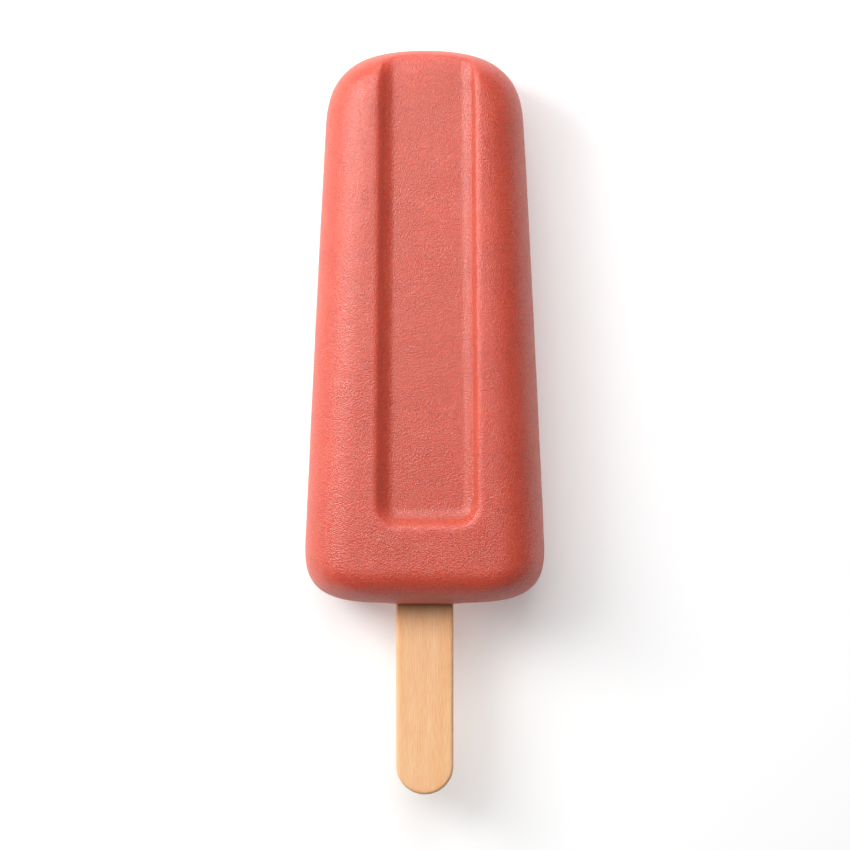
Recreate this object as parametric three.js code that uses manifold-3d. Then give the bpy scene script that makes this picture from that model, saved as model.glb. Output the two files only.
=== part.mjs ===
// Ice pop: a bar of smooth frozen fruit ice on a flat wooden stick, lying on its back.
//
// Millimetres. +X is across the bar, +Y runs along it from the stick to the rounded tip, and +Z is
// up, out of the face that shows. The bar is wider and thicker at the stick than at the tip, as a bar
// is that leaves its mould stick first. Each face has a long sunken panel, with rounded corners at the
// stick end, that runs out over the tip. The stick is one flat piece, frozen into a slot in the bar.
import * as THREE from 'three';
import { LoftGeometry } from 'three/addons/geometries/LoftGeometry.js';
import { mergeVertices } from 'three/addons/utils/BufferGeometryUtils.js';
import Module from 'manifold-3d';

const wasm = await Module();
wasm.setup();

const BAR_LENGTH = 96.2;

// The straight sides and faces, measured from the bar's middle and carried on to its two ends.
const BAR_HALF_WIDTH = { base: 21.24, tip: 16.55 };
const BAR_HALF_DEPTH = { base: 11.5, tip: 10.1 };
const SIDE_BULGE = 0.18; // how far a side bows out at half the bar's length
const FACE_CROWN = 0.5; // how much lower a face is at its edges than along its middle

// Roundings. Each one draws a surface in by up to `drop` over its last `reach`, and a squareness of 2
// is an ellipse. The two corners are seen from above; the ends and the edges are rounded in depth, by
// a share of the depth there.
const BASE_CORNER = { reach: 11.9, drop: 16.8, squareness: 3.36 };
const TIP_CORNER = { reach: 13.5, drop: 16.2, squareness: 2.7 };
const END_ROUND = { reach: 6.5, dropShare: 0.78, squareness: 2.5 };
const EDGE_ROUND = { reach: 8.6, dropShare: 0.8, squareness: 2.3 };

const PANEL = {
  middle: 0.5, // the panel lies a little to one side of the bar's middle
  floorHalfWidth: { base: 6.05, tip: 5.5 },
  floorStart: 16.45, // from the bar's stick end
  cornerRadius: 0.9, // of the floor, seen from above
  depth: { base: 2.2, tip: 1.95 },
};

// The wall is a cove that curves up out of the panel's floor, and its rim is rounded over into the face.
const PANEL_COVE = { reach: 2.7, drop: 3.1, squareness: 2 };
const PANEL_RIM = { reach: 1.7, drop: 1, squareness: 2 };
const RIM_FROM_FLOOR = 2.1;
const RIM_SOFTNESS = 0.9; // height over which the wall and the rim run together

const REST_FLAT = 0.25; // the back is flat this far below its highest line, where the pop lies on it

const STICK = {
  length: 93,
  width: 10,
  thickness: 2,
  showing: 33.5, // the length that is left to hold
  edgeRadius: 0.6,
};
const SLOT_GAP = 0.3; // between the stick and the slot that it is frozen into

// How finely the bar is cut up. Its rows lie across it and its columns along it, and both are close
// together where the panel's wall curves.
const WALL_BAND = { inside: 0.1, outside: 4.1 }; // from the edge of the panel's floor
const WALL_STEPS = 10;
const FLOOR_STEPS = 3;
const EDGE_STEPS = 10;
const CORNER_STEPS = 3;
const MIDDLE_STEPS = 9;
const END_STEPS = 8;
const ROOM_FOR_PANEL = 0.8; // the share of the half-width that the panel's columns may take

const ICE_COLOUR = 0xd7695c;
const WOOD_COLOUR = 0xecbb8b;

// The value at a distance along the bar of something that changes evenly from its base to its tip.
function tapered({ base, tip }, along) {
  return THREE.MathUtils.lerp(base, tip, along / BAR_LENGTH);
}

// How far a rounding has drawn the surface in, at a distance from the end or edge that it rounds.
function drawnIn(distance, { reach, drop, squareness }) {
  const run = 1 - THREE.MathUtils.clamp(distance / reach, 0, 1);
  return drop * (1 - (1 - run ** squareness) ** (1 / squareness));
}

// The lower of two heights, with a curve where they cross.
function softMin(a, b, softness) {
  const closeness = Math.max(softness - Math.abs(a - b), 0) / softness;
  return Math.min(a, b) - (closeness ** 2 * softness) / 4;
}

function halfWidth(along) {
  const share = along / BAR_LENGTH;
  const side = tapered(BAR_HALF_WIDTH, along) + 4 * SIDE_BULGE * share * (1 - share);
  return side - drawnIn(along, BASE_CORNER) - drawnIn(BAR_LENGTH - along, TIP_CORNER);
}

function halfDepth(along) {
  const depth = tapered(BAR_HALF_DEPTH, along);
  const end = { ...END_ROUND, drop: END_ROUND.dropShare * depth };
  return depth - drawnIn(along, end) - drawnIn(BAR_LENGTH - along, end);
}

function crown(across) {
  return FACE_CROWN * (across / BAR_HALF_WIDTH.base) ** 2;
}

// Height of the bar's outer face over its middle plane, without the panel.
function faceHeight(across, along) {
  const width = halfWidth(along);
  const depth = halfDepth(along);
  const edge = {
    reach: Math.min(EDGE_ROUND.reach, width),
    drop: EDGE_ROUND.dropShare * depth,
    squareness: EDGE_ROUND.squareness,
  };
  return depth - crown(across) - drawnIn(width - Math.abs(across), edge);
}

// Distance from a point, seen from above, to the panel's floor. It is negative over the floor.
function distanceToFloor(across, along) {
  const { middle, floorHalfWidth, floorStart, cornerRadius } = PANEL;
  const beside = Math.abs(across - middle) - tapered(floorHalfWidth, along) + cornerRadius;
  const below = floorStart - along + cornerRadius;
  const outside = Math.hypot(Math.max(beside, 0), Math.max(below, 0));
  return outside + Math.min(Math.max(beside, below), 0) - cornerRadius;
}

// Height of the front: the lower of the face, rounded at the panel's rim, and the panel's floor with its
// wall. The rim fades out over the tip, where the face comes down to the panel's floor.
function frontHeight(across, along) {
  const fromFloor = distanceToFloor(across, along);
  const face = faceHeight(across, along);
  const depth = tapered(PANEL.depth, along);
  const floor = tapered(BAR_HALF_DEPTH, along) - depth - crown(across);
  const stillRaised = THREE.MathUtils.clamp((face - floor) / depth, 0, 1);
  const rounded = face - stillRaised * drawnIn(fromFloor - RIM_FROM_FLOOR, PANEL_RIM);
  return softMin(rounded, floor + drawnIn(PANEL_COVE.reach - fromFloor, PANEL_COVE), RIM_SOFTNESS);
}

// The back is the front's mirror image, but for the flat that it rests on.
function backHeight(across, along) {
  return -Math.min(frontHeight(across, along), tapered(BAR_HALF_DEPTH, along) - REST_FLAT);
}

// Evenly spaced values from start to end, both included.
function evenly(start, end, steps) {
  return Array.from({ length: steps + 1 }, (_, i) => THREE.MathUtils.lerp(start, end, i / steps));
}

// Distances from an end over the stretch that it is rounded on, one for each equal turn of the curve.
function roundingSteps(reach) {
  return evenly(0, Math.PI / 2, END_STEPS).map((turn) => reach * (1 - Math.cos(turn)));
}

// Where the rows lie, from the stick end to the tip.
function rowPlaces() {
  const wallStart = PANEL.floorStart - WALL_BAND.outside;
  const wallEnd = PANEL.floorStart + WALL_BAND.inside;
  const tipStart = BAR_LENGTH - TIP_CORNER.reach;
  const tipRoundStart = BAR_LENGTH - END_ROUND.reach;
  return [
    ...roundingSteps(END_ROUND.reach),
    ...evenly(END_ROUND.reach, wallStart, CORNER_STEPS).slice(1),
    ...evenly(wallStart, wallEnd, WALL_STEPS).slice(1),
    ...evenly(wallEnd, tipStart, MIDDLE_STEPS).slice(1),
    ...evenly(tipStart, tipRoundStart, CORNER_STEPS).slice(1),
    ...roundingSteps(END_ROUND.reach).reverse().slice(1).map((fromTip) => BAR_LENGTH - fromTip),
  ];
}

// Where the columns cross a row, from the left edge to the right one. They follow the panel's walls,
// and draw together towards the tip, where the bar gets narrower than the panel.
function columnPlaces(along) {
  const width = halfWidth(along);
  const floorEdge = tapered(PANEL.floorHalfWidth, along);
  const wall = evenly(floorEdge - WALL_BAND.inside, floorEdge + WALL_BAND.outside, WALL_STEPS);
  const floor = evenly(-wall[0], wall[0], FLOOR_STEPS).slice(1, -1);
  const widest = PANEL.middle + wall[WALL_STEPS];
  const squeeze = Math.min(1, (ROOM_FOR_PANEL * width) / widest);
  const wallMirrored = wall.map((place) => -place).reverse();
  const inner = [...wallMirrored, ...floor, ...wall].map((place) => squeeze * (PANEL.middle + place));
  const edgeShares = evenly(0, Math.PI / 2, EDGE_STEPS).slice(1).map(Math.sin);
  const [leftmost, rightmost] = [inner[0], inner[inner.length - 1]];
  return [
    ...edgeShares.map((share) => THREE.MathUtils.lerp(leftmost, -width, share)).reverse(),
    ...inner,
    ...edgeShares.map((share) => THREE.MathUtils.lerp(rightmost, width, share)),
  ];
}

// One closed section through the bar: over the front from left to right, and back underneath.
function barSection(along) {
  const places = columnPlaces(along);
  const front = places.map((across) => new THREE.Vector3(across, along, frontHeight(across, along)));
  const back = places.map((across) => new THREE.Vector3(across, along, backHeight(across, along)));
  return [...front, ...back.reverse()];
}

// A flat stick with round ends and eased edges, lying along Y with its lower end at y = -STICK.showing.
// A margin makes it larger all round.
function stickGeometry(margin = 0) {
  const radius = STICK.width / 2 + margin;
  const lowest = radius - margin - STICK.showing;
  const highest = STICK.length - STICK.showing - radius + margin;
  const outline = new THREE.Shape();
  outline.absarc(0, lowest, radius, Math.PI, 2 * Math.PI);
  outline.absarc(0, highest, radius, 0, Math.PI);
  outline.closePath();
  const thickness = STICK.thickness + 2 * margin;
  const geometry = new THREE.ExtrudeGeometry(outline, {
    depth: thickness - 2 * STICK.edgeRadius,
    curveSegments: 20,
    bevelSize: STICK.edgeRadius,
    bevelOffset: -STICK.edgeRadius,
    bevelThickness: STICK.edgeRadius,
    bevelSegments: 3,
  });
  return geometry.translate(0, 0, STICK.edgeRadius - thickness / 2);
}

function toSolid(geometry) {
  const bare = new THREE.BufferGeometry().copy(geometry).deleteAttribute('normal').deleteAttribute('uv');
  const merged = mergeVertices(bare);
  return new wasm.Manifold(
    new wasm.Mesh({
      numProp: 3,
      vertProperties: merged.attributes.position.array,
      triVerts: new Uint32Array(merged.index.array),
    }),
  );
}

function toGeometry(solid) {
  const { vertProperties, triVerts } = solid.getMesh();
  const geometry = new THREE.BufferGeometry();
  geometry.setAttribute('position', new THREE.BufferAttribute(vertProperties, 3));
  geometry.setIndex(new THREE.BufferAttribute(triVerts, 1));
  geometry.computeVertexNormals();
  return geometry;
}

// The frozen bar, lofted through its sections, with the slot for the stick cut into its wide end.
function frozenBar() {
  const skin = new LoftGeometry(rowPlaces().map(barSection), { capStart: true, capEnd: true });
  const solid = toSolid(skin).subtract(toSolid(stickGeometry(SLOT_GAP)));
  const material = new THREE.MeshStandardMaterial({ color: ICE_COLOUR, roughness: 0.45, metalness: 0 });
  const mesh = new THREE.Mesh(toGeometry(solid), material);
  mesh.name = 'frozen_bar';
  return mesh;
}

function stick() {
  const material = new THREE.MeshStandardMaterial({ color: WOOD_COLOUR, roughness: 0.7, metalness: 0 });
  const mesh = new THREE.Mesh(stickGeometry(), material);
  mesh.name = 'stick';
  return mesh;
}

// The pop leans by the taper of one face, so that its back lies level.
const pop = new THREE.Group();
pop.add(frozenBar(), stick());
pop.rotation.x = -Math.atan2(BAR_HALF_DEPTH.base - BAR_HALF_DEPTH.tip, BAR_LENGTH);

// The origin is under the middle of the whole pop, on the surface that it lies on.
const lying = new THREE.Group();
lying.add(pop);
const extent = new THREE.Box3().setFromObject(lying, true);
const middle = extent.getCenter(new THREE.Vector3());
pop.position.set(-middle.x, -middle.y, -extent.min.z);

export default lying;
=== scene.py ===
"""An ice pop that lies on its back: a bar of smooth frozen fruit ice on a flat birch stick.

The forms are worked out in the pop's own frame, in millimetres. X runs across the bar, Y along it
from the stick end to the rounded tip, and Z out of the face that shows. Each mesh is then turned and
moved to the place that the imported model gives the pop, in metres.
"""

from __future__ import annotations

import logging
import math
from dataclasses import dataclass, field
from enum import Enum

import bmesh
import bpy
import numpy as np
from mathutils import Matrix, Vector, noise

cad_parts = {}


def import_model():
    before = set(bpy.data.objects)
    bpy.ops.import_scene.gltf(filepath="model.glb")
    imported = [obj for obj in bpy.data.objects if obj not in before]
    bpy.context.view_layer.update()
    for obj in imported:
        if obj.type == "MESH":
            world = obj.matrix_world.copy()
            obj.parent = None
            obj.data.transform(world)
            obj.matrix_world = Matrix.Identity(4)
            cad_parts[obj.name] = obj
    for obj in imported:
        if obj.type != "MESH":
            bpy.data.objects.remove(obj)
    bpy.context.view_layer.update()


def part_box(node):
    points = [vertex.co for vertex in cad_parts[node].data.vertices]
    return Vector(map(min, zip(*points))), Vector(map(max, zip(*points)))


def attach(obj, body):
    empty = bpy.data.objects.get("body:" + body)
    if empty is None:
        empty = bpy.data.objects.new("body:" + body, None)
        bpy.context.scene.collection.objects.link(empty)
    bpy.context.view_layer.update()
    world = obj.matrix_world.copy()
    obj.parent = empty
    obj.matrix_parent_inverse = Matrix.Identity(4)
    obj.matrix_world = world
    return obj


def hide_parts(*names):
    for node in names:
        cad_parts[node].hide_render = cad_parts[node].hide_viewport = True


log = logging.getLogger("ice_pop")

MM = 0.001
BODY = "root"

Colour = tuple[float, float, float]


# ---------------------------------------------------------------------------------------------------
# Shader nodes
# ---------------------------------------------------------------------------------------------------


class NodeSketch:
    """A node tree, with short ways to add and join its nodes."""

    def __init__(self, tree: bpy.types.NodeTree) -> None:
        """Starts on an empty tree.

        Args:
            tree: The tree of a material, a world or a group.
        """
        self.tree = tree
        tree.nodes.clear()

    def add(self, kind: str, inputs: dict | None = None, **settings: object) -> bpy.types.Node:
        """Adds a node.

        Args:
            kind: The node's type, as Blender names it.
            inputs: What its inputs hold, by name or number: a value, or a socket to join to it.
            settings: The node's own settings.

        Returns:
            The node.
        """
        node = self.tree.nodes.new(kind)
        for name, value in settings.items():
            setattr(node, name, value)
        for key, value in (inputs or {}).items():
            if isinstance(value, bpy.types.NodeSocket):
                self.tree.links.new(value, node.inputs[key])
            else:
                node.inputs[key].default_value = value
        return node

    def maths(self, operation: str, *values: object) -> bpy.types.NodeSocket:
        """Joins numbers with a Math node.

        Args:
            operation: What the node works out.
            values: Its inputs, as numbers or sockets.

        Returns:
            The result's socket.
        """
        return self.add("ShaderNodeMath", dict(enumerate(values)), operation=operation).outputs[0]

    def stretched(self, vector: bpy.types.NodeSocket, scale: object) -> bpy.types.NodeSocket:
        """Multiplies a vector, part by part.

        Args:
            vector: The vector's socket.
            scale: What each part is multiplied by, as three numbers or a socket.

        Returns:
            The product's socket.
        """
        node = self.add("ShaderNodeVectorMath", {0: vector, 1: scale}, operation="MULTIPLY")
        return node.outputs[0]

    def place_mm(self) -> bpy.types.NodeSocket:
        """Gives the place on the piece, in millimetres."""
        place = self.add("ShaderNodeTexCoord").outputs["Object"]
        return self.stretched(place, (1 / MM,) * 3)

    def blend(self, share: object, low: object, high: object) -> bpy.types.NodeSocket:
        """Mixes two colours.

        Args:
            share: How much of the second colour there is, as a number or a socket.
            low: The first colour, as three parts or a socket.
            high: The second colour.

        Returns:
            The mixed colour's socket.
        """
        low, high = (c if isinstance(c, bpy.types.NodeSocket) else (*c, 1) for c in (low, high))
        return self.add("ShaderNodeMix", {0: share, 6: low, 7: high}, data_type="RGBA").outputs[2]

    def between(self, share: object, low: object, high: object) -> bpy.types.NodeSocket:
        """Mixes two numbers.

        Args:
            share: How much of the second one there is.
            low: The first number, or its socket.
            high: The second one.

        Returns:
            The mixed number's socket.
        """
        return self.add("ShaderNodeMix", {0: share, 2: low, 3: high}, data_type="FLOAT").outputs[0]

    def contrasted(self, value: object, contrast: object) -> bpy.types.NodeSocket:
        """Spreads a value about a half, and keeps it between 0 and 1.

        Args:
            value: The value's socket.
            contrast: How far it is spread, as a number or a socket.

        Returns:
            The socket of the spread value.
        """
        centred = self.maths("SUBTRACT", value, 0.5)
        spread = self.maths("MULTIPLY", centred, contrast)
        lifted = self.maths("ADD", spread, 0.5)
        return self.add("ShaderNodeClamp", {"Value": lifted}).outputs[0]


@dataclass(frozen=True)
class EffectGroup:
    """A shader node group with named inputs and one named output.

    Attributes:
        name: The group's name.
        inputs: The inputs' names and the values that they start with.
        output: The output's name.
    """

    name: str
    inputs: dict[str, float]
    output: str

    def tree(self) -> bpy.types.NodeTree:
        """Gives the group's node tree, and builds it the first time.

        Returns:
            The tree.
        """
        known = bpy.data.node_groups.get(self.name)
        if known:
            return known
        made = bpy.data.node_groups.new(self.name, "ShaderNodeTree")
        made.interface.new_socket("Place", in_out="INPUT", socket_type="NodeSocketVector")
        for name, value in self.inputs.items():
            socket = made.interface.new_socket(name, in_out="INPUT", socket_type="NodeSocketFloat")
            socket.default_value = value
        made.interface.new_socket(self.output, in_out="OUTPUT", socket_type="NodeSocketFloat")
        sketch = NodeSketch(made)
        entry = sketch.add("NodeGroupInput")
        sketch.add("NodeGroupOutput", {self.output: self.inside(sketch, entry)})
        return made

    def inside(self, sketch: NodeSketch, entry: bpy.types.Node) -> bpy.types.NodeSocket:
        """Adds what is inside the group. Each kind of effect has its own."""
        raise NotImplementedError

    def placed(self, sketch: NodeSketch, place: object, **values: object) -> bpy.types.NodeSocket:
        """Places the group in a material.

        Args:
            sketch: The material's nodes.
            place: The socket of the place on the piece.
            values: What the group's other inputs hold.

        Returns:
            The socket of the group's output.
        """
        node = sketch.add("ShaderNodeGroup", {"Place": place} | values, node_tree=self.tree())
        return node.outputs[self.output]


@dataclass(frozen=True)
class Cloud(EffectGroup):
    """Soft, cloudy unevenness, from 0 to 1 and about a half on average."""

    name: str = "soft cloud"
    inputs: dict[str, float] = field(
        default_factory=lambda: {"Size": 5.0, "Detail": 2.0, "Contrast": 1.0}
    )
    output: str = "Share"

    def inside(self, sketch: NodeSketch, entry: bpy.types.Node) -> bpy.types.NodeSocket:
        """Adds a noise whose contrast about its middle can be set.

        Args:
            sketch: The group's nodes.
            entry: The node that the group's inputs come in by.

        Returns:
            The socket of what the group puts out.
        """
        inputs = {
            "Vector": entry.outputs["Place"],
            "Scale": sketch.maths("DIVIDE", 1.0, entry.outputs["Size"]),
            "Detail": entry.outputs["Detail"],
        }
        raw = sketch.add("ShaderNodeTexNoise", inputs).outputs["Fac"]
        return sketch.contrasted(raw, entry.outputs["Contrast"])


@dataclass(frozen=True)
class Flecks(EffectGroup):
    """Small separate spots: 1 at the middle of each, and 0 between them."""

    name: str = "sparse flecks"
    inputs: dict[str, float] = field(
        default_factory=lambda: {"Spacing": 3.0, "Radius": 0.2, "Share": 0.5, "Shift": 0.0}
    )
    output: str = "Mask"

    def inside(self, sketch: NodeSketch, entry: bpy.types.Node) -> bpy.types.NodeSocket:
        """Adds one spot at the middle of some of the cells of a Voronoi texture.

        Args:
            sketch: The group's nodes.
            entry: The node that the group's inputs come in by.

        Returns:
            The socket of what the group puts out.
        """
        both = {0: entry.outputs["Place"], 1: entry.outputs["Shift"]}
        shifted = sketch.add("ShaderNodeVectorMath", both, operation="ADD")
        scale = sketch.maths("DIVIDE", 1.0, entry.outputs["Spacing"])
        cells = sketch.add("ShaderNodeTexVoronoi", {"Vector": shifted.outputs[0], "Scale": scale})
        away = sketch.maths("MULTIPLY", cells.outputs["Distance"], entry.outputs["Spacing"])
        lot = sketch.add("ShaderNodeSeparateColor", {0: cells.outputs["Color"]}).outputs[0]
        chosen = sketch.maths("LESS_THAN", lot, entry.outputs["Share"])
        falling = {"Value": away, "From Min": entry.outputs["Radius"], "From Max": 0.0}
        near = sketch.add("ShaderNodeMapRange", falling, interpolation_type="SMOOTHSTEP")
        return sketch.maths("MULTIPLY", near.outputs[0], chosen)


@dataclass(frozen=True)
class Strokes(EffectGroup):
    """Fine short strokes that all lean one way in the plane of the piece, from 0 to 1."""

    name: str = "slanting strokes"
    inputs: dict[str, float] = field(
        default_factory=lambda: {
            "Size": 0.3,
            "Stretch": 3.0,
            "Slant": 0.0,
            "Detail": 2.0,
            "Contrast": 1.0,
        }
    )
    output: str = "Share"

    def inside(self, sketch: NodeSketch, entry: bpy.types.Node) -> bpy.types.NodeSocket:
        """Adds a noise that is turned about Z and drawn out along the strokes.

        Args:
            sketch: The group's nodes.
            entry: The node that the group's inputs come in by.

        Returns:
            The socket of what the group puts out.
        """
        turn = {"Vector": entry.outputs["Place"], "Angle": entry.outputs["Slant"]}
        turned = sketch.add("ShaderNodeVectorRotate", turn, rotation_type="Z_AXIS")
        shorter = sketch.maths("DIVIDE", 1.0, entry.outputs["Stretch"])
        squeeze = sketch.add("ShaderNodeCombineXYZ", {"X": 1.0, "Y": shorter, "Z": 1.0})
        inputs = {
            "Vector": sketch.stretched(turned.outputs[0], squeeze.outputs[0]),
            "Scale": sketch.maths("DIVIDE", 1.0, entry.outputs["Size"]),
            "Detail": entry.outputs["Detail"],
        }
        raw = sketch.add("ShaderNodeTexNoise", inputs).outputs["Fac"]
        return sketch.contrasted(raw, entry.outputs["Contrast"])


CLOUD = Cloud()
FLECKS = Flecks()
STROKES = Strokes()


# ---------------------------------------------------------------------------------------------------
# Finishes
# ---------------------------------------------------------------------------------------------------


@dataclass(frozen=True)
class FruitIce:
    """Smooth sorbet-like fruit ice: dense, a little cloudy, and frosted with a fine grain.

    Attributes:
        deep: The ice's colour where it is clearest.
        pale: Its colour where it is cloudiest.
        fleck: The colour of the few dark flecks of fruit skin.
        frost: The colour of the tiny pale crystals.
        large: How much of the cloudiness is in the large clouds.
        middling: How much of it is in the mottling.
        small: How much of it is in the grain.
        fleck_share: How strongly the flecks colour the ice.
        crystal_share: How strongly the crystals do.
        glow: The share of the light that travels on inside the ice.
        glow_mm: How far it travels there, for red, green and blue.
        frost_roughness: How rough the film of frost on it is.
        frost_patches: How much that roughness varies from patch to patch.
        frost_patch_mm: The size of the patches.
        frost_index: The refractive index of that film, high as its crystals reflect a lot.
        frost_share: How much of the ice the film covers.
        rime: The weight of the dry rime over it, which shows where the ice is seen at a slant.
        rime_roughness: How widely the rime scatters light.
        relief_mm: The height of the grain.
        wrinkle_share: The height of the wrinkles, as a share of the grain's.
        lean: The angle at which the wrinkles lean to one side or the other.
    """

    deep: Colour = (0.435, 0.023, 0.003)
    pale: Colour = (0.750, 0.078, 0.018)
    fleck: Colour = (0.20, 0.020, 0.012)
    frost: Colour = (0.88, 0.34, 0.26)
    large: float = 0.3
    middling: float = 0.2
    small: float = 0.5
    fleck_share: float = 0.8
    crystal_share: float = 0.45
    glow: float = 0.7
    glow_mm: Colour = (7.0, 0.5, 0.35)
    frost_roughness: float = 0.34
    frost_patches: float = 0.208
    frost_patch_mm: float = 2.4
    frost_index: float = 2.4
    frost_share: float = 0.4
    rime: float = 0.2
    rime_roughness: float = 0.7
    relief_mm: float = 0.036
    wrinkle_share: float = 0.7
    lean: float = 0.6

    def material(self) -> bpy.types.Material:
        """Builds the material.

        Returns:
            The material of the frozen bar.
        """
        made = bpy.data.materials.new("frosted_fruit_ice")
        made.use_nodes = True
        sketch = NodeSketch(made.node_tree)
        place = sketch.place_mm()
        relief = self.relief(sketch, place)
        surface = {
            "Base Color": self.colour(sketch, place),
            "Specular IOR Level": 0.0,
            "Normal": relief,
            "Coat Normal": relief,
            "Subsurface Weight": self.glow,
            "Subsurface Radius": self.glow_mm,
            "Subsurface Scale": MM,
            "Coat Weight": self.frost_share,
            "Coat Roughness": self.frost_film(sketch, place),
            "Coat IOR": self.frost_index,
            "Sheen Weight": self.rime,
            "Sheen Roughness": self.rime_roughness,
        }
        shader = sketch.add("ShaderNodeBsdfPrincipled", surface)
        sketch.add("ShaderNodeOutputMaterial", {"Surface": shader.outputs[0]})
        return made

    def colour(self, sketch: NodeSketch, place: bpy.types.NodeSocket) -> bpy.types.NodeSocket:
        """Adds the colour: clouds, fine mottling, a grain, and dark and pale flecks.

        Args:
            sketch: The material's nodes.
            place: The socket of the place on the piece, in millimetres.

        Returns:
            The socket of the colour.
        """
        clouds = CLOUD.placed(sketch, place, Size=8.0, Detail=3.0, Contrast=1.4)
        mottle = CLOUD.placed(sketch, place, Size=1.1, Detail=2.0, Contrast=1.4)
        grain = CLOUD.placed(sketch, place, Size=0.3, Detail=1.0, Contrast=3.0)
        large = sketch.maths("MULTIPLY", clouds, self.large)
        middling = sketch.maths("MULTIPLY", mottle, self.middling)
        small = sketch.maths("MULTIPLY", grain, self.small)
        cloudiness = sketch.maths("ADD", sketch.maths("ADD", large, middling), small)
        body = sketch.blend(cloudiness, self.deep, self.pale)
        flecks = FLECKS.placed(sketch, place, Spacing=5.5, Radius=0.26, Share=0.3)
        body = sketch.blend(sketch.maths("MULTIPLY", flecks, self.fleck_share), body, self.fleck)
        crystals = FLECKS.placed(sketch, place, Spacing=0.8, Radius=0.17, Share=0.5, Shift=7.7)
        return sketch.blend(sketch.maths("MULTIPLY", crystals, self.crystal_share), body, self.frost)

    def frost_film(self, sketch: NodeSketch, place: bpy.types.NodeSocket) -> bpy.types.NodeSocket:
        """Adds the roughness of the film of frost, which varies a little from patch to patch.

        Args:
            sketch: The material's nodes.
            place: The socket of the place on the piece, in millimetres.

        Returns:
            The socket of the roughness.
        """
        inputs = {"Vector": place, "Scale": 1 / self.frost_patch_mm, "Detail": 2.0}
        patches = sketch.add("ShaderNodeTexNoise", inputs).outputs["Fac"]
        centred = sketch.maths("SUBTRACT", patches, 0.5)
        return sketch.maths("MULTIPLY_ADD", centred, self.frost_patches, self.frost_roughness)

    def relief(self, sketch: NodeSketch, place: bpy.types.NodeSocket) -> bpy.types.NodeSocket:
        """Adds the fine relief: short wrinkles that lean one way or the other, a grain, and pits.

        Args:
            sketch: The material's nodes.
            place: The socket of the place on the piece, in millimetres.

        Returns:
            The socket of the relief's normal.
        """
        strokes = {"Size": 0.26, "Stretch": 2.4, "Contrast": 1.8}
        leaning_left = STROKES.placed(sketch, place, Slant=self.lean, **strokes)
        leaning_right = STROKES.placed(sketch, place, Slant=-self.lean, **strokes)
        side = CLOUD.placed(sketch, place, Size=4.0, Detail=1.0, Contrast=4.0)
        wrinkles = sketch.between(side, leaning_left, leaning_right)
        grain = CLOUD.placed(sketch, place, Size=0.2, Detail=0.0, Contrast=2.6)
        pits = FLECKS.placed(sketch, place, Spacing=2.6, Radius=0.3, Share=0.25, Shift=3.1)
        height = sketch.maths("ADD", sketch.maths("MULTIPLY", wrinkles, self.wrinkle_share), grain)
        height = sketch.maths("SUBTRACT", height, pits)
        inputs = {"Height": height, "Distance": self.relief_mm * MM, "Strength": 1.0}
        return sketch.add("ShaderNodeBump", inputs).outputs[0]


@dataclass(frozen=True)
class BirchWood:
    """Bare birch, cut along the grain and sanded.

    Attributes:
        pale: The colour of the palest wood.
        warm: The colour of the warmest.
        blush: The colour of its faint rosy patches.
        streak: The colour of the thin dark lines along the grain.
        roughness: How rough it is.
        relief_mm: The height of the fibres.
        band_share: How much of the change from warm to pale is in broad bands, and not in fibres.
        blush_share: How strongly the rosy patches colour it.
        streak_share: How strongly the dark lines do.
    """

    pale: Colour = (0.97, 0.64, 0.36)
    warm: Colour = (0.90, 0.45, 0.18)
    blush: Colour = (0.92, 0.44, 0.24)
    streak: Colour = (0.58, 0.27, 0.12)
    roughness: float = 0.6
    relief_mm: float = 0.03
    band_share: float = 0.6
    blush_share: float = 0.4
    streak_share: float = 0.35

    def material(self) -> bpy.types.Material:
        """Builds the material.

        Returns:
            The material of the stick.
        """
        made = bpy.data.materials.new("bare_birch")
        made.use_nodes = True
        sketch = NodeSketch(made.node_tree)
        place = sketch.place_mm()
        fibres = self.fibres(sketch, place)
        inputs = {"Height": fibres, "Distance": self.relief_mm * MM, "Strength": 1.0}
        bump = sketch.add("ShaderNodeBump", inputs)
        surface = {
            "Base Color": self.colour(sketch, place, fibres),
            "Roughness": self.roughness,
            "Normal": bump.outputs[0],
        }
        shader = sketch.add("ShaderNodeBsdfPrincipled", surface)
        sketch.add("ShaderNodeOutputMaterial", {"Surface": shader.outputs[0]})
        return made

    def fibres(self, sketch: NodeSketch, place: bpy.types.NodeSocket) -> bpy.types.NodeSocket:
        """Adds the fine fibres, which run along the stick."""
        along = sketch.stretched(place, (1.0, 0.13, 1.0))
        return CLOUD.placed(sketch, along, Size=0.27, Detail=3.0, Contrast=2.4)

    def colour(
        self, sketch: NodeSketch, place: bpy.types.NodeSocket, fibres: bpy.types.NodeSocket
    ) -> bpy.types.NodeSocket:
        """Adds the colour: broad bands, fine fibres, rosy patches, and short dark pores.

        Args:
            sketch: The material's nodes.
            place: The socket of the place on the piece, in millimetres.
            fibres: The socket of the fine fibres.

        Returns:
            The socket of the colour.
        """
        along = sketch.stretched(place, (1.0, 0.06, 1.0))
        bands = CLOUD.placed(sketch, along, Size=1.7, Detail=2.0, Contrast=1.8)
        broad = sketch.maths("MULTIPLY", bands, self.band_share)
        fine = sketch.maths("MULTIPLY", fibres, 1 - self.band_share)
        wood = sketch.blend(sketch.maths("ADD", broad, fine), self.warm, self.pale)
        patch_place = sketch.stretched(place, (1.0, 0.45, 1.0))
        patches = CLOUD.placed(sketch, patch_place, Size=1.5, Detail=2.0, Contrast=3.0)
        wood = sketch.blend(sketch.maths("MULTIPLY", patches, self.blush_share), wood, self.blush)
        pore_place = sketch.stretched(place, (1.0, 0.12, 1.0))
        pores = FLECKS.placed(sketch, pore_place, Spacing=0.7, Radius=0.12, Share=0.35)
        return sketch.blend(sketch.maths("MULTIPLY", pores, self.streak_share), wood, self.streak)


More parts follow.
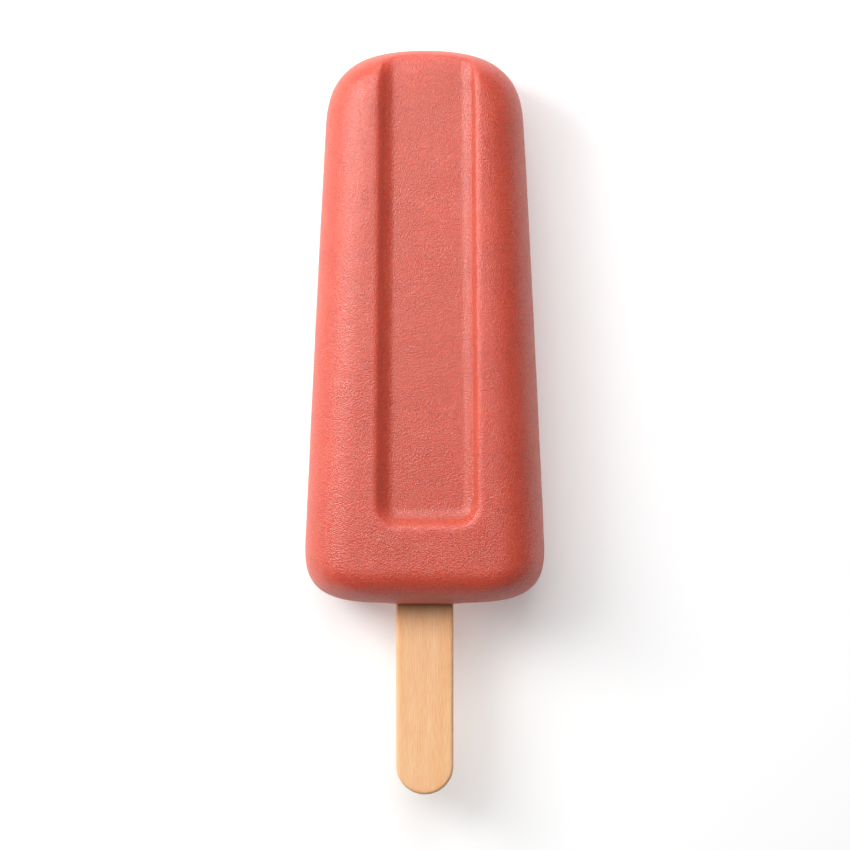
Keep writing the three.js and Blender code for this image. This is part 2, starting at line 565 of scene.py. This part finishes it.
# ---------------------------------------------------------------------------------------------------
# Forms
# ---------------------------------------------------------------------------------------------------


@dataclass(frozen=True)
class Taper:
    """A size that changes evenly from the bar's stick end to its tip.

    Attributes:
        base: The size at the stick end.
        tip: The size at the tip.
    """

    base: float
    tip: float

    def at(self, share: np.ndarray) -> np.ndarray:
        """Gives the size at a share of the bar's length."""
        return self.base + (self.tip - self.base) * share


def drawn_in(
    distance: np.ndarray,
    reach: float | np.ndarray,
    drop: float | np.ndarray,
    squareness: float,
) -> np.ndarray:
    """Works out how far a rounding has drawn a surface in.

    Args:
        distance: The distance from the end or the edge that it rounds.
        reach: How far from there it acts.
        drop: How far it draws the surface in at the very end.
        squareness: 2 is an ellipse, and more is squarer.

    Returns:
        The distance that the surface has moved.
    """
    run = 1 - np.clip(distance / reach, 0, 1)
    return drop * (1 - (1 - run**squareness) ** (1 / squareness))


def soft_min(a: np.ndarray, b: np.ndarray, softness: float) -> np.ndarray:
    """Gives the lower of two heights, with a curve where they cross."""
    closeness = np.maximum(softness - np.abs(a - b), 0) / softness
    return np.minimum(a, b) - closeness**2 * softness / 4


def wave(points: np.ndarray, size: float, seed: float) -> np.ndarray:
    """Gives a smooth random value at each point, from about -1 to 1.

    Args:
        points: The points, in rows.
        size: The distance over which the value changes.
        seed: A shift that makes one set of waves unlike another.

    Returns:
        The value at each point.
    """
    shift = Vector((seed, 1.7 * seed, -2.3 * seed))
    return np.array([noise.noise(Vector(p) / size + shift) for p in points])


@dataclass(frozen=True)
class BarForm:
    """The form of the frozen bar, in millimetres, as part.mjs states it.

    It is worked out in the bar's own frame, whose Z is 0 midway between its two faces. A rounding is
    given by its reach, its drop and its squareness, in the order that drawn_in takes them.

    Attributes:
        length: The bar's length.
        half_width: Half its width.
        half_depth: Half its depth.
        side_bulge: How far its sides bulge at half its length.
        face_crown: How much lower its faces are at their edges than along their middle.
        base_corner: The rounding of the corners at the stick end, seen from above.
        tip_corner: The rounding of the corners at the tip.
        round_reach: How far the faces round off from either end.
        round_share: How far they drop there, as a share of half the depth.
        round_squareness: How square that rounding is.
        edge_reach: How far the faces round off from the long sides.
        edge_share: How far they drop there, as a share of half the depth.
        edge_squareness: How square that rounding is.
        panel_middle: How far to the right the sunken panel lies.
        panel_half_width: Half the width of its floor.
        panel_start: Where its floor starts, from the stick end.
        panel_corner: The radius of the floor's corners.
        panel_depth: How deep the floor lies.
        cove: The hollow rounding at the foot of its wall.
        rim: The rounding at the top of its wall.
        rim_from_floor: How far from the floor that rounding starts, seen from above.
        rim_softness: The height over which the cove and the rim flow into each other.
        rest_flat: How much the back is flattened where it lies on its highest part.
    """

    length: float = 96.2
    half_width: Taper = Taper(21.24, 16.55)
    half_depth: Taper = Taper(11.5, 10.1)
    side_bulge: float = 0.18
    face_crown: float = 0.5
    base_corner: tuple[float, float, float] = (11.9, 16.8, 3.36)
    tip_corner: tuple[float, float, float] = (13.5, 16.2, 2.7)
    round_reach: float = 6.5
    round_share: float = 0.78
    round_squareness: float = 2.5
    edge_reach: float = 8.6
    edge_share: float = 0.8
    edge_squareness: float = 2.3
    panel_middle: float = 0.5
    panel_half_width: Taper = Taper(6.05, 5.5)
    panel_start: float = 16.45
    panel_corner: float = 0.9
    panel_depth: Taper = Taper(2.2, 1.95)
    cove: tuple[float, float, float] = (2.7, 3.1, 2.0)
    rim: tuple[float, float, float] = (1.7, 1.0, 2.0)
    rim_from_floor: float = 2.1
    rim_softness: float = 0.9
    rest_flat: float = 0.25

    @property
    def lean(self) -> float:
        """The angle by which the back slopes, and the lying pop leans."""
        return math.atan2(self.half_depth.base - self.half_depth.tip, self.length)

    def width_at(self, along: np.ndarray) -> np.ndarray:
        """Gives half the bar's width, with its rounded corners.

        Args:
            along: The places along the bar.

        Returns:
            Half its width there.
        """
        share = along / self.length
        side = self.half_width.at(share) + 4 * self.side_bulge * share * (1 - share)
        from_base = drawn_in(along, *self.base_corner)
        from_tip = drawn_in(self.length - along, *self.tip_corner)
        return side - from_base - from_tip

    def depth_at(self, along: np.ndarray) -> np.ndarray:
        """Gives half the bar's depth along its middle, without the panel.

        Args:
            along: The places along the bar.

        Returns:
            Half its depth there.
        """
        depth = self.half_depth.at(along / self.length)
        rounding = (self.round_reach, self.round_share * depth, self.round_squareness)
        return depth - drawn_in(along, *rounding) - drawn_in(self.length - along, *rounding)

    def crown(self, across: np.ndarray) -> np.ndarray:
        """Gives how much lower a face is than along its middle."""
        return self.face_crown * (across / self.half_width.base) ** 2

    def face(self, across: np.ndarray, along: np.ndarray) -> np.ndarray:
        """Gives the height of the outer face, without the panel.

        Args:
            across: The points' distances to the right of the bar's middle.
            along: Their distances from the stick end.

        Returns:
            The height at each point.
        """
        width, depth = self.width_at(along), self.depth_at(along)
        reach = np.minimum(self.edge_reach, width)
        edge = drawn_in(width - np.abs(across), reach, self.edge_share * depth, self.edge_squareness)
        return depth - self.crown(across) - edge

    def past_floor(self, across: np.ndarray, along: np.ndarray) -> np.ndarray:
        """Gives the distance to the panel's floor, seen from above.

        Args:
            across: The points' distances to the right of the bar's middle.
            along: Their distances from the stick end.

        Returns:
            The distance of each point, which is negative over the floor.
        """
        half_width = self.panel_half_width.at(along / self.length)
        beside = np.abs(across - self.panel_middle) - half_width + self.panel_corner
        below = self.panel_start - along + self.panel_corner
        outside = np.hypot(np.maximum(beside, 0), np.maximum(below, 0))
        return outside + np.minimum(np.maximum(beside, below), 0) - self.panel_corner

    def front(self, across: np.ndarray, along: np.ndarray) -> np.ndarray:
        """Gives the height of the front, with the panel.

        Args:
            across: The points' distances to the right of the bar's middle.
            along: Their distances from the stick end.

        Returns:
            The height at each point.
        """
        share = along / self.length
        depth = self.panel_depth.at(share)
        floor = self.half_depth.at(share) - depth - self.crown(across)
        past_floor = self.past_floor(across, along)
        wall = drawn_in(self.cove[0] - past_floor, *self.cove)
        face = self.face(across, along)
        still_raised = np.clip((face - floor) / depth, 0, 1)
        rounded = face - still_raised * drawn_in(past_floor - self.rim_from_floor, *self.rim)
        return soft_min(rounded, floor + wall, self.rim_softness)

    def back(self, across: np.ndarray, along: np.ndarray) -> np.ndarray:
        """Gives the height of the back: the front's mirror image, with a flat to lie on."""
        flat = self.half_depth.at(along / self.length) - self.rest_flat
        return -np.minimum(self.front(across, along), flat)


@dataclass
class FrozenBar:
    """The bar of frozen fruit ice.

    Attributes:
        form: Its form.
        finish: Its finish.
        spacing: The distance between the rows of its mesh.
        end_rows: How many rows round off each end.
        side_columns: How many columns each half of a face has beside the panel.
        floor_columns: How many the panel's floor has.
        wall_columns: How many each of the panel's walls has.
        side_rows: How many strips of faces each long side has between the front and the back.
        wall_inside: How far over the floor the wall's columns start.
        wall_outside: How far from the floor they end.
        room_for_panel: The most of the bar's width that the panel's columns take at a row.
        swell: The height of its broad, slight swells.
        swell_size: Their size.
        ripple: The height of its finer ripples.
        ripple_size: Their size.
        fade_in: How far above what it lies on the swells reach their full height.
        lip: The height of the lip of ice round the stick.
        lip_reach: How far the lip spreads.
        lip_zone: How far along the bar it can be.
    """

    form: BarForm = field(default_factory=BarForm)
    finish: FruitIce = field(default_factory=FruitIce)
    spacing: float = 0.45
    end_rows: int = 20
    side_columns: int = 26
    floor_columns: int = 31
    wall_columns: int = 22
    side_rows: int = 10
    wall_inside: float = 0.1
    wall_outside: float = 4.1
    room_for_panel: float = 0.8
    swell: float = 0.03
    swell_size: float = 11.0
    ripple: float = 0.025
    ripple_size: float = 3.2
    fade_in: float = 1.0
    lip: float = 0.25
    lip_reach: float = 1.6
    lip_zone: float = 4.0

    def row_places(self) -> np.ndarray:
        """Works out where the rows lie along the bar, close together at its rounded ends.

        Returns:
            The places, from the stick end to the tip.
        """
        form = self.form
        turns = np.linspace(0, math.pi / 2, self.end_rows + 1)
        rounding = form.round_reach * (1 - np.cos(turns))
        inner = form.length - 2 * form.round_reach
        steps = round(inner / self.spacing)
        middle = np.linspace(form.round_reach, form.length - form.round_reach, steps)
        return np.concatenate([rounding, middle[1:-1], form.length - rounding[::-1]])

    def column_places(self, along: float) -> np.ndarray:
        """Gives where the columns cross a row, close together on the panel's walls.

        Args:
            along: The row's place along the bar.

        Returns:
            The places, from the left edge to the right one.
        """
        form = self.form
        width = float(form.width_at(np.float64(along)))
        floor_edge = form.panel_half_width.at(along / form.length)
        wall_start = floor_edge - self.wall_inside
        wall_end = floor_edge + self.wall_outside
        wall = np.linspace(wall_start, wall_end, self.wall_columns)
        floor = np.linspace(-wall[0], wall[0], self.floor_columns)
        inner = form.panel_middle + np.concatenate([-wall[::-1], floor[1:-1], wall])
        inner *= min(1.0, self.room_for_panel * width / inner[-1])
        edge = np.sin(np.linspace(0, math.pi / 2, self.side_columns + 1))[1:]
        left = inner[0] + (-width - inner[0]) * edge[::-1]
        right = inner[-1] + (width - inner[-1]) * edge
        return np.concatenate([left, inner, right])

    def sections(self) -> tuple[np.ndarray, int]:
        """Works out the rings of points round the bar.

        Returns:
            The points, as rings from the stick end to the tip, and the number of columns of each
            face. A ring runs over the front from left to right, down the right side, over the back
            and up the left side.
        """
        rings = []
        shares = np.linspace(0, 1, self.side_rows + 1)[1:-1]
        for along in self.row_places():
            across = self.column_places(along)
            columns = len(across)
            here = np.full(columns, along)
            front, back = self.form.front(across, here), self.form.back(across, here)
            right = front[-1] + (back[-1] - front[-1]) * shares
            left = back[0] + (front[0] - back[0]) * shares
            right_x = np.full(len(right), across[-1])
            left_x = np.full(len(left), across[0])
            x = np.concatenate([across, right_x, across[::-1], left_x])
            z = np.concatenate([front, right, back[::-1], left])
            rings.append(np.stack([x, np.full(len(x), along), z], axis=1))
        return np.array(rings), columns

    def faces(self, rings: int, ring: int, columns: int) -> list[tuple[int, ...]]:
        """Works out the faces: quads between the rings, and a grid of quads over each end.

        Args:
            rings: The number of rings.
            ring: The number of points of each.
            columns: The number of columns of each face of the bar.

        Returns:
            The faces, as tuples of point numbers. The points of the two end grids follow the rings'.
        """
        quads = []
        for r in range(rings - 1):
            low, high = r * ring, (r + 1) * ring
            for i in range(ring):
                j = (i + 1) % ring
                quads.append((low + i, low + j, high + j, high + i))
        steps = self.side_rows
        first_new = rings * ring
        for end, start in ((0, 0), (1, (rings - 1) * ring)):
            new = first_new + end * (columns - 2) * (steps - 1)

            def point(column: int, step: int) -> int:
                """Gives the number of a point of the end's grid.

                Args:
                    column: Its column, from the left.
                    step: Its row, from the front to the back.

                Returns:
                    Its number.
                """
                if step == 0:
                    return start + column
                if step == steps:
                    return start + columns + (steps - 1) + (columns - 1 - column)
                if column == columns - 1:
                    return start + columns + step - 1
                if column == 0:
                    return start + ring - step
                return new + (column - 1) * (steps - 1) + step - 1

            for c in range(columns - 1):
                for s in range(steps):
                    quad = (point(c, s), point(c, s + 1), point(c + 1, s + 1), point(c + 1, s))
                    quads.append(quad[::-1] if end else quad)
        return quads

    def end_points(self, section: np.ndarray, columns: int) -> np.ndarray:
        """Works out the points inside an end, between its front edge and its back edge.

        Args:
            section: The ring of points at that end.
            columns: The number of columns of each face of the bar.

        Returns:
            The points, column by column.
        """
        front = section[1 : columns - 1]
        first_back = columns + self.side_rows - 1
        back = section[first_back : first_back + columns][::-1][1:-1]
        shares = np.linspace(0, 1, self.side_rows + 1)[1:-1]
        return (front[:, None] + (back - front)[:, None] * shares[None, :, None]).reshape(-1, 3)

    def build(self, placement: Placement, stick: Stick) -> bpy.types.Object:
        """Builds the bar.

        Args:
            placement: Where the pop lies.
            stick: The stick, which the ice swells up round.

        Returns:
            The bar's object.
        """
        rings, columns = self.sections()
        ends = [self.end_points(rings[0], columns), self.end_points(rings[-1], columns)]
        points = np.concatenate([rings.reshape(-1, 3), *ends])
        mesh = bpy.data.meshes.new("frozen_bar_ice")
        mesh.from_pydata(points.tolist(), [], self.faces(len(rings), rings.shape[1], columns))
        mesh.update()
        normals = np.empty(len(points) * 3, np.float32)
        mesh.vertex_normals.foreach_get("vector", normals)
        points = self.roughened(points, normals.reshape(-1, 3), stick)
        mesh.vertices.foreach_set("co", placement.to_row(points).astype(np.float32).ravel())
        mesh.shade_smooth()
        mesh.update()
        piece = bpy.data.objects.new("frozen_bar_ice", mesh)
        bpy.context.scene.collection.objects.link(piece)
        mesh.materials.append(self.finish.material())
        return piece

    def roughened(self, points: np.ndarray, normals: np.ndarray, stick: Stick) -> np.ndarray:
        """Adds the slight swells of the ice, and the lip where it has crept along the stick.

        Args:
            points: The bar's points.
            normals: The direction that the surface faces at each.
            stick: The stick.

        Returns:
            The moved points.
        """
        swells = self.swell * wave(points, self.swell_size, 3.1)
        ripples = self.ripple * wave(points, self.ripple_size, 8.4)
        resting = -self.form.half_depth.at(points[:, 1] / self.form.length) + self.form.rest_flat
        off_floor = np.clip((points[:, 2] - resting) / self.fade_in, 0, 1)
        moved = points + normals * ((swells + ripples) * off_floor)[:, None]
        away = stick.distance_outside(points)
        crept = self.lip * np.exp(-((away / self.lip_reach) ** 2))
        moved[:, 1] -= crept * (points[:, 1] < self.lip_zone)
        return moved


@dataclass
class Stick:
    """The flat birch stick.

    Attributes:
        length: Its whole length.
        width: Its width.
        thickness: Its thickness.
        showing: The length that is left to hold.
        edge: The radius of its eased edges.
        edge_steps: How many strips of faces each eased edge has.
        end_steps: How many steps each round end has.
        straight_steps: How many steps each straight side has.
        insets: How many strips its flat faces have, from their middle to the eased edge.
        merge: How close points are that become one, in the middle of the faces.
        finish: Its finish.
    """

    length: float = 93.0
    width: float = 10.0
    thickness: float = 2.0
    showing: float = 33.5
    edge: float = 0.6
    edge_steps: int = 6
    end_steps: int = 28
    straight_steps: int = 90
    insets: int = 8
    merge: float = 1e-4
    finish: BirchWood = field(default_factory=BirchWood)

    def distance_outside(self, points: np.ndarray) -> np.ndarray:
        """Gives how far points are from the stick's section, seen along the bar.

        Args:
            points: The points, in rows.

        Returns:
            The distance of each.
        """
        beside = np.maximum(np.abs(points[:, 0]) - self.width / 2, 0)
        above = np.maximum(np.abs(points[:, 2]) - self.thickness / 2, 0)
        return np.hypot(beside, above)

    def outline(self, inset: float) -> np.ndarray:
        """Works out the stick's outline, drawn in by an inset.

        Args:
            inset: How far it is drawn in.

        Returns:
            The outline's points, counterclockwise from above.
        """
        radius = self.width / 2 - inset
        low = self.width / 2 - self.showing
        high = self.length - self.showing - self.width / 2
        turns = np.linspace(0, math.pi, self.end_steps + 1)
        lower = np.stack([-radius * np.cos(turns), low - radius * np.sin(turns)], axis=1)
        upper = np.stack([radius * np.cos(turns), high + radius * np.sin(turns)], axis=1)
        climb = np.linspace(low, high, self.straight_steps + 1)[1:-1]
        right = np.stack([np.full(len(climb), radius), climb], axis=1)
        left = np.stack([np.full(len(climb), -radius), climb[::-1]], axis=1)
        return np.concatenate([lower, right, upper, left])

    def profile(self) -> list[tuple[float, float]]:
        """Works out the stick's section, from the middle of its top to the middle of its back.

        Returns:
            Pairs of an inset from the outline and a height.
        """
        half = self.thickness / 2
        turns = np.linspace(0, math.pi / 2, self.edge_steps + 1)
        edge = [(self.edge * (1 - math.sin(t)), half - self.edge * (1 - math.cos(t))) for t in turns]
        insets = np.linspace(self.width / 2, self.edge, self.insets + 1)
        top = [(inset, half) for inset in insets[:-1]] + edge
        return top + [(inset, -height) for inset, height in reversed(top)]

    def build(self, placement: Placement) -> bpy.types.Object:
        """Builds the stick.

        Args:
            placement: Where the pop lies.

        Returns:
            The stick's object.
        """
        shape = bmesh.new()
        loops = []
        for inset, height in self.profile():
            outline = self.outline(inset)
            places = np.column_stack([outline, np.full(len(outline), height)])
            loops.append([shape.verts.new(p) for p in placement.to_row(places)])
        for upper, lower in zip(loops, loops[1:]):
            for i, vert in enumerate(upper):
                j = (i + 1) % len(upper)
                shape.faces.new((vert, lower[i], lower[j], upper[j]))
        bmesh.ops.remove_doubles(shape, verts=shape.verts, dist=self.merge * MM)
        bmesh.ops.recalc_face_normals(shape, faces=shape.faces)
        mesh = bpy.data.meshes.new("birch_stick")
        shape.to_mesh(mesh)
        shape.free()
        mesh.shade_smooth()
        piece = bpy.data.objects.new("birch_stick", mesh)
        bpy.context.scene.collection.objects.link(piece)
        mesh.materials.append(self.finish.material())
        return piece


@dataclass(frozen=True)
class Placement:
    """Where the pop lies: turned back by its lean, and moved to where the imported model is.

    Attributes:
        lean: The angle that it is turned back by.
        shift: How far it is moved after that, in millimetres.
    """

    lean: float
    shift: tuple[float, float, float]

    @classmethod
    def of_pack(cls, form: BarForm) -> Placement:
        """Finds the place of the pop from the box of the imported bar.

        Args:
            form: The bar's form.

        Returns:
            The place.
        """
        bar_low, bar_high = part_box("frozen_bar")
        lean = form.lean
        resting = (form.half_depth.base - form.rest_flat) * math.cos(lean)
        tip = form.length * math.cos(lean)
        tip_overhang = (1 - form.round_share) * form.half_depth.tip * math.sin(lean)
        middle = (bar_low.x + bar_high.x) / 2 / MM
        start = bar_high.y / MM - tip - tip_overhang
        return cls(lean, (middle, start, bar_low.z / MM + resting))

    def to_row(self, points: np.ndarray) -> np.ndarray:
        """Turns and moves points from the pop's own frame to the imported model's.

        Args:
            points: The points, in rows, in millimetres.

        Returns:
            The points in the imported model's frame, in metres.
        """
        turned = points @ np.array(Matrix.Rotation(-self.lean, 3, "X")).T
        return (turned + np.array(self.shift)) * MM


# ---------------------------------------------------------------------------------------------------
# Studio
# ---------------------------------------------------------------------------------------------------


@dataclass(frozen=True)
class SoftBox:
    """A soft rectangular lamp that points at the pop.

    Attributes:
        name: Its name.
        elevation: The angle that it stands at above the floor, seen from the pop, in degrees.
        bearing: Its direction round the pop, in degrees: 90 is the tip's side, and 180 the left.
        distance: How far away it is, in metres.
        size: Its width and height, in metres.
        power: Its power, in watts.
    """

    name: str
    elevation: float
    bearing: float
    distance: float
    size: tuple[float, float]
    power: float

    def build(self) -> None:
        """Sets the lamp up."""
        data = bpy.data.lights.new(self.name, "AREA")
        data.shape = "RECTANGLE"
        data.size, data.size_y = self.size
        data.energy = self.power
        lamp = bpy.data.objects.new(self.name, data)
        up, round_pop = math.radians(self.elevation), math.radians(self.bearing)
        level = math.cos(up)
        away = Vector((level * math.cos(round_pop), level * math.sin(round_pop), math.sin(up)))
        lamp.location = away * self.distance
        lamp.rotation_euler = away.to_track_quat("Z", "Y").to_euler()
        lamp.visible_camera = False
        bpy.context.scene.collection.objects.link(lamp)


class Lamp(Enum):
    """The studio's lamps."""

    KEY = SoftBox("key_lamp", 43, 151, 0.42, (0.17, 0.28), 1.4)
    SIDE = SoftBox("side_lamp", 14, 178, 0.7, (0.5, 0.3), 0.52)
    TIP = SoftBox("tip_lamp", 25, 90, 0.7, (0.4, 0.3), 1.25)
    TOP = SoftBox("top_lamp", 66, 100, 0.7, (0.5, 0.5), 2.65)


@dataclass
class Studio:
    """The floor, the lamps, the light of the room and the camera.

    Attributes:
        frame_mm: The width that the picture shows, at the height of the pop's middle.
        aim_mm: The point that it is centred on.
        lens: The camera's focal length.
        sensor: The width of its sensor.
        floor_size: The length of the floor's sides, in metres.
        floor_colour: The floor's colour.
        floor_roughness: How rough it is.
        floor_glow: How much light it gives off, as a lit table does.
        room_colour: The colour of the room's even light.
        room_light: Its strength.
    """

    frame_mm: float = 148.75
    aim_mm: tuple[float, float, float] = (0.03, -0.33, 11.0)
    lens: float = 135.0
    sensor: float = 36.0
    floor_size: float = 6.0
    floor_colour: Colour = (0.83, 0.83, 0.83)
    floor_roughness: float = 0.9
    floor_glow: float = 0.28
    room_colour: Colour = (1.0, 1.0, 1.0)
    room_light: float = 0.05

    def build(self) -> None:
        """Sets up the whole studio."""
        self.build_camera()
        self.build_floor()
        self.build_room()
        for lamp in Lamp:
            lamp.value.build()
        bpy.context.scene.view_settings.view_transform = "Standard"

    def build_camera(self) -> None:
        """Sets up the camera, which looks straight down with the pop's tip at the top."""
        data = bpy.data.cameras.new("camera")
        data.lens = self.lens
        data.sensor_width = self.sensor
        camera = bpy.data.objects.new("camera", data)
        distance = self.frame_mm * self.lens / self.sensor
        x, y, z = self.aim_mm
        camera.location = Vector((x, y, z + distance)) * MM
        bpy.context.scene.collection.objects.link(camera)
        bpy.context.scene.camera = camera

    def build_floor(self) -> None:
        """Lays the pale floor."""
        half = self.floor_size / 2
        mesh = bpy.data.meshes.new("floor")
        corners = [(-half, -half, 0), (half, -half, 0), (half, half, 0), (-half, half, 0)]
        mesh.from_pydata(corners, [], [(0, 1, 2, 3)])
        floor = bpy.data.objects.new("floor", mesh)
        bpy.context.scene.collection.objects.link(floor)
        made = bpy.data.materials.new("floor")
        made.use_nodes = True
        sketch = NodeSketch(made.node_tree)
        surface = {
            "Base Color": (*self.floor_colour, 1),
            "Roughness": self.floor_roughness,
            "Emission Color": (*self.room_colour, 1),
            "Emission Strength": self.floor_glow,
        }
        shader = sketch.add("ShaderNodeBsdfPrincipled", surface)
        sketch.add("ShaderNodeOutputMaterial", {"Surface": shader.outputs[0]})
        mesh.materials.append(made)

    def build_room(self) -> None:
        """Sets the even light of the room."""
        world = bpy.data.worlds.new("room")
        bpy.context.scene.world = world
        world.use_nodes = True
        sketch = NodeSketch(world.node_tree)
        inputs = {"Color": (*self.room_colour, 1), "Strength": self.room_light}
        light = sketch.add("ShaderNodeBackground", inputs)
        sketch.add("ShaderNodeOutputWorld", {"Surface": light.outputs[0]})


def dressed(piece: bpy.types.Object, node: str) -> None:
    """Ties a finished piece to the frame.

    Args:
        piece: The piece.
        node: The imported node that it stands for.
    """
    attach(piece, BODY)
    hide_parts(node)
    log.info("%s stands for %s: %d faces", piece.name, node, len(piece.data.polygons))


def main() -> None:
    """Builds the studio and the pop."""
    logging.basicConfig(level=logging.INFO)
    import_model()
    Studio().build()
    bar = FrozenBar()
    stick = Stick()
    placement = Placement.of_pack(bar.form)
    dressed(bar.build(placement, stick), "frozen_bar")
    dressed(stick.build(placement), "stick")


if __name__ == "__main__":
    main()
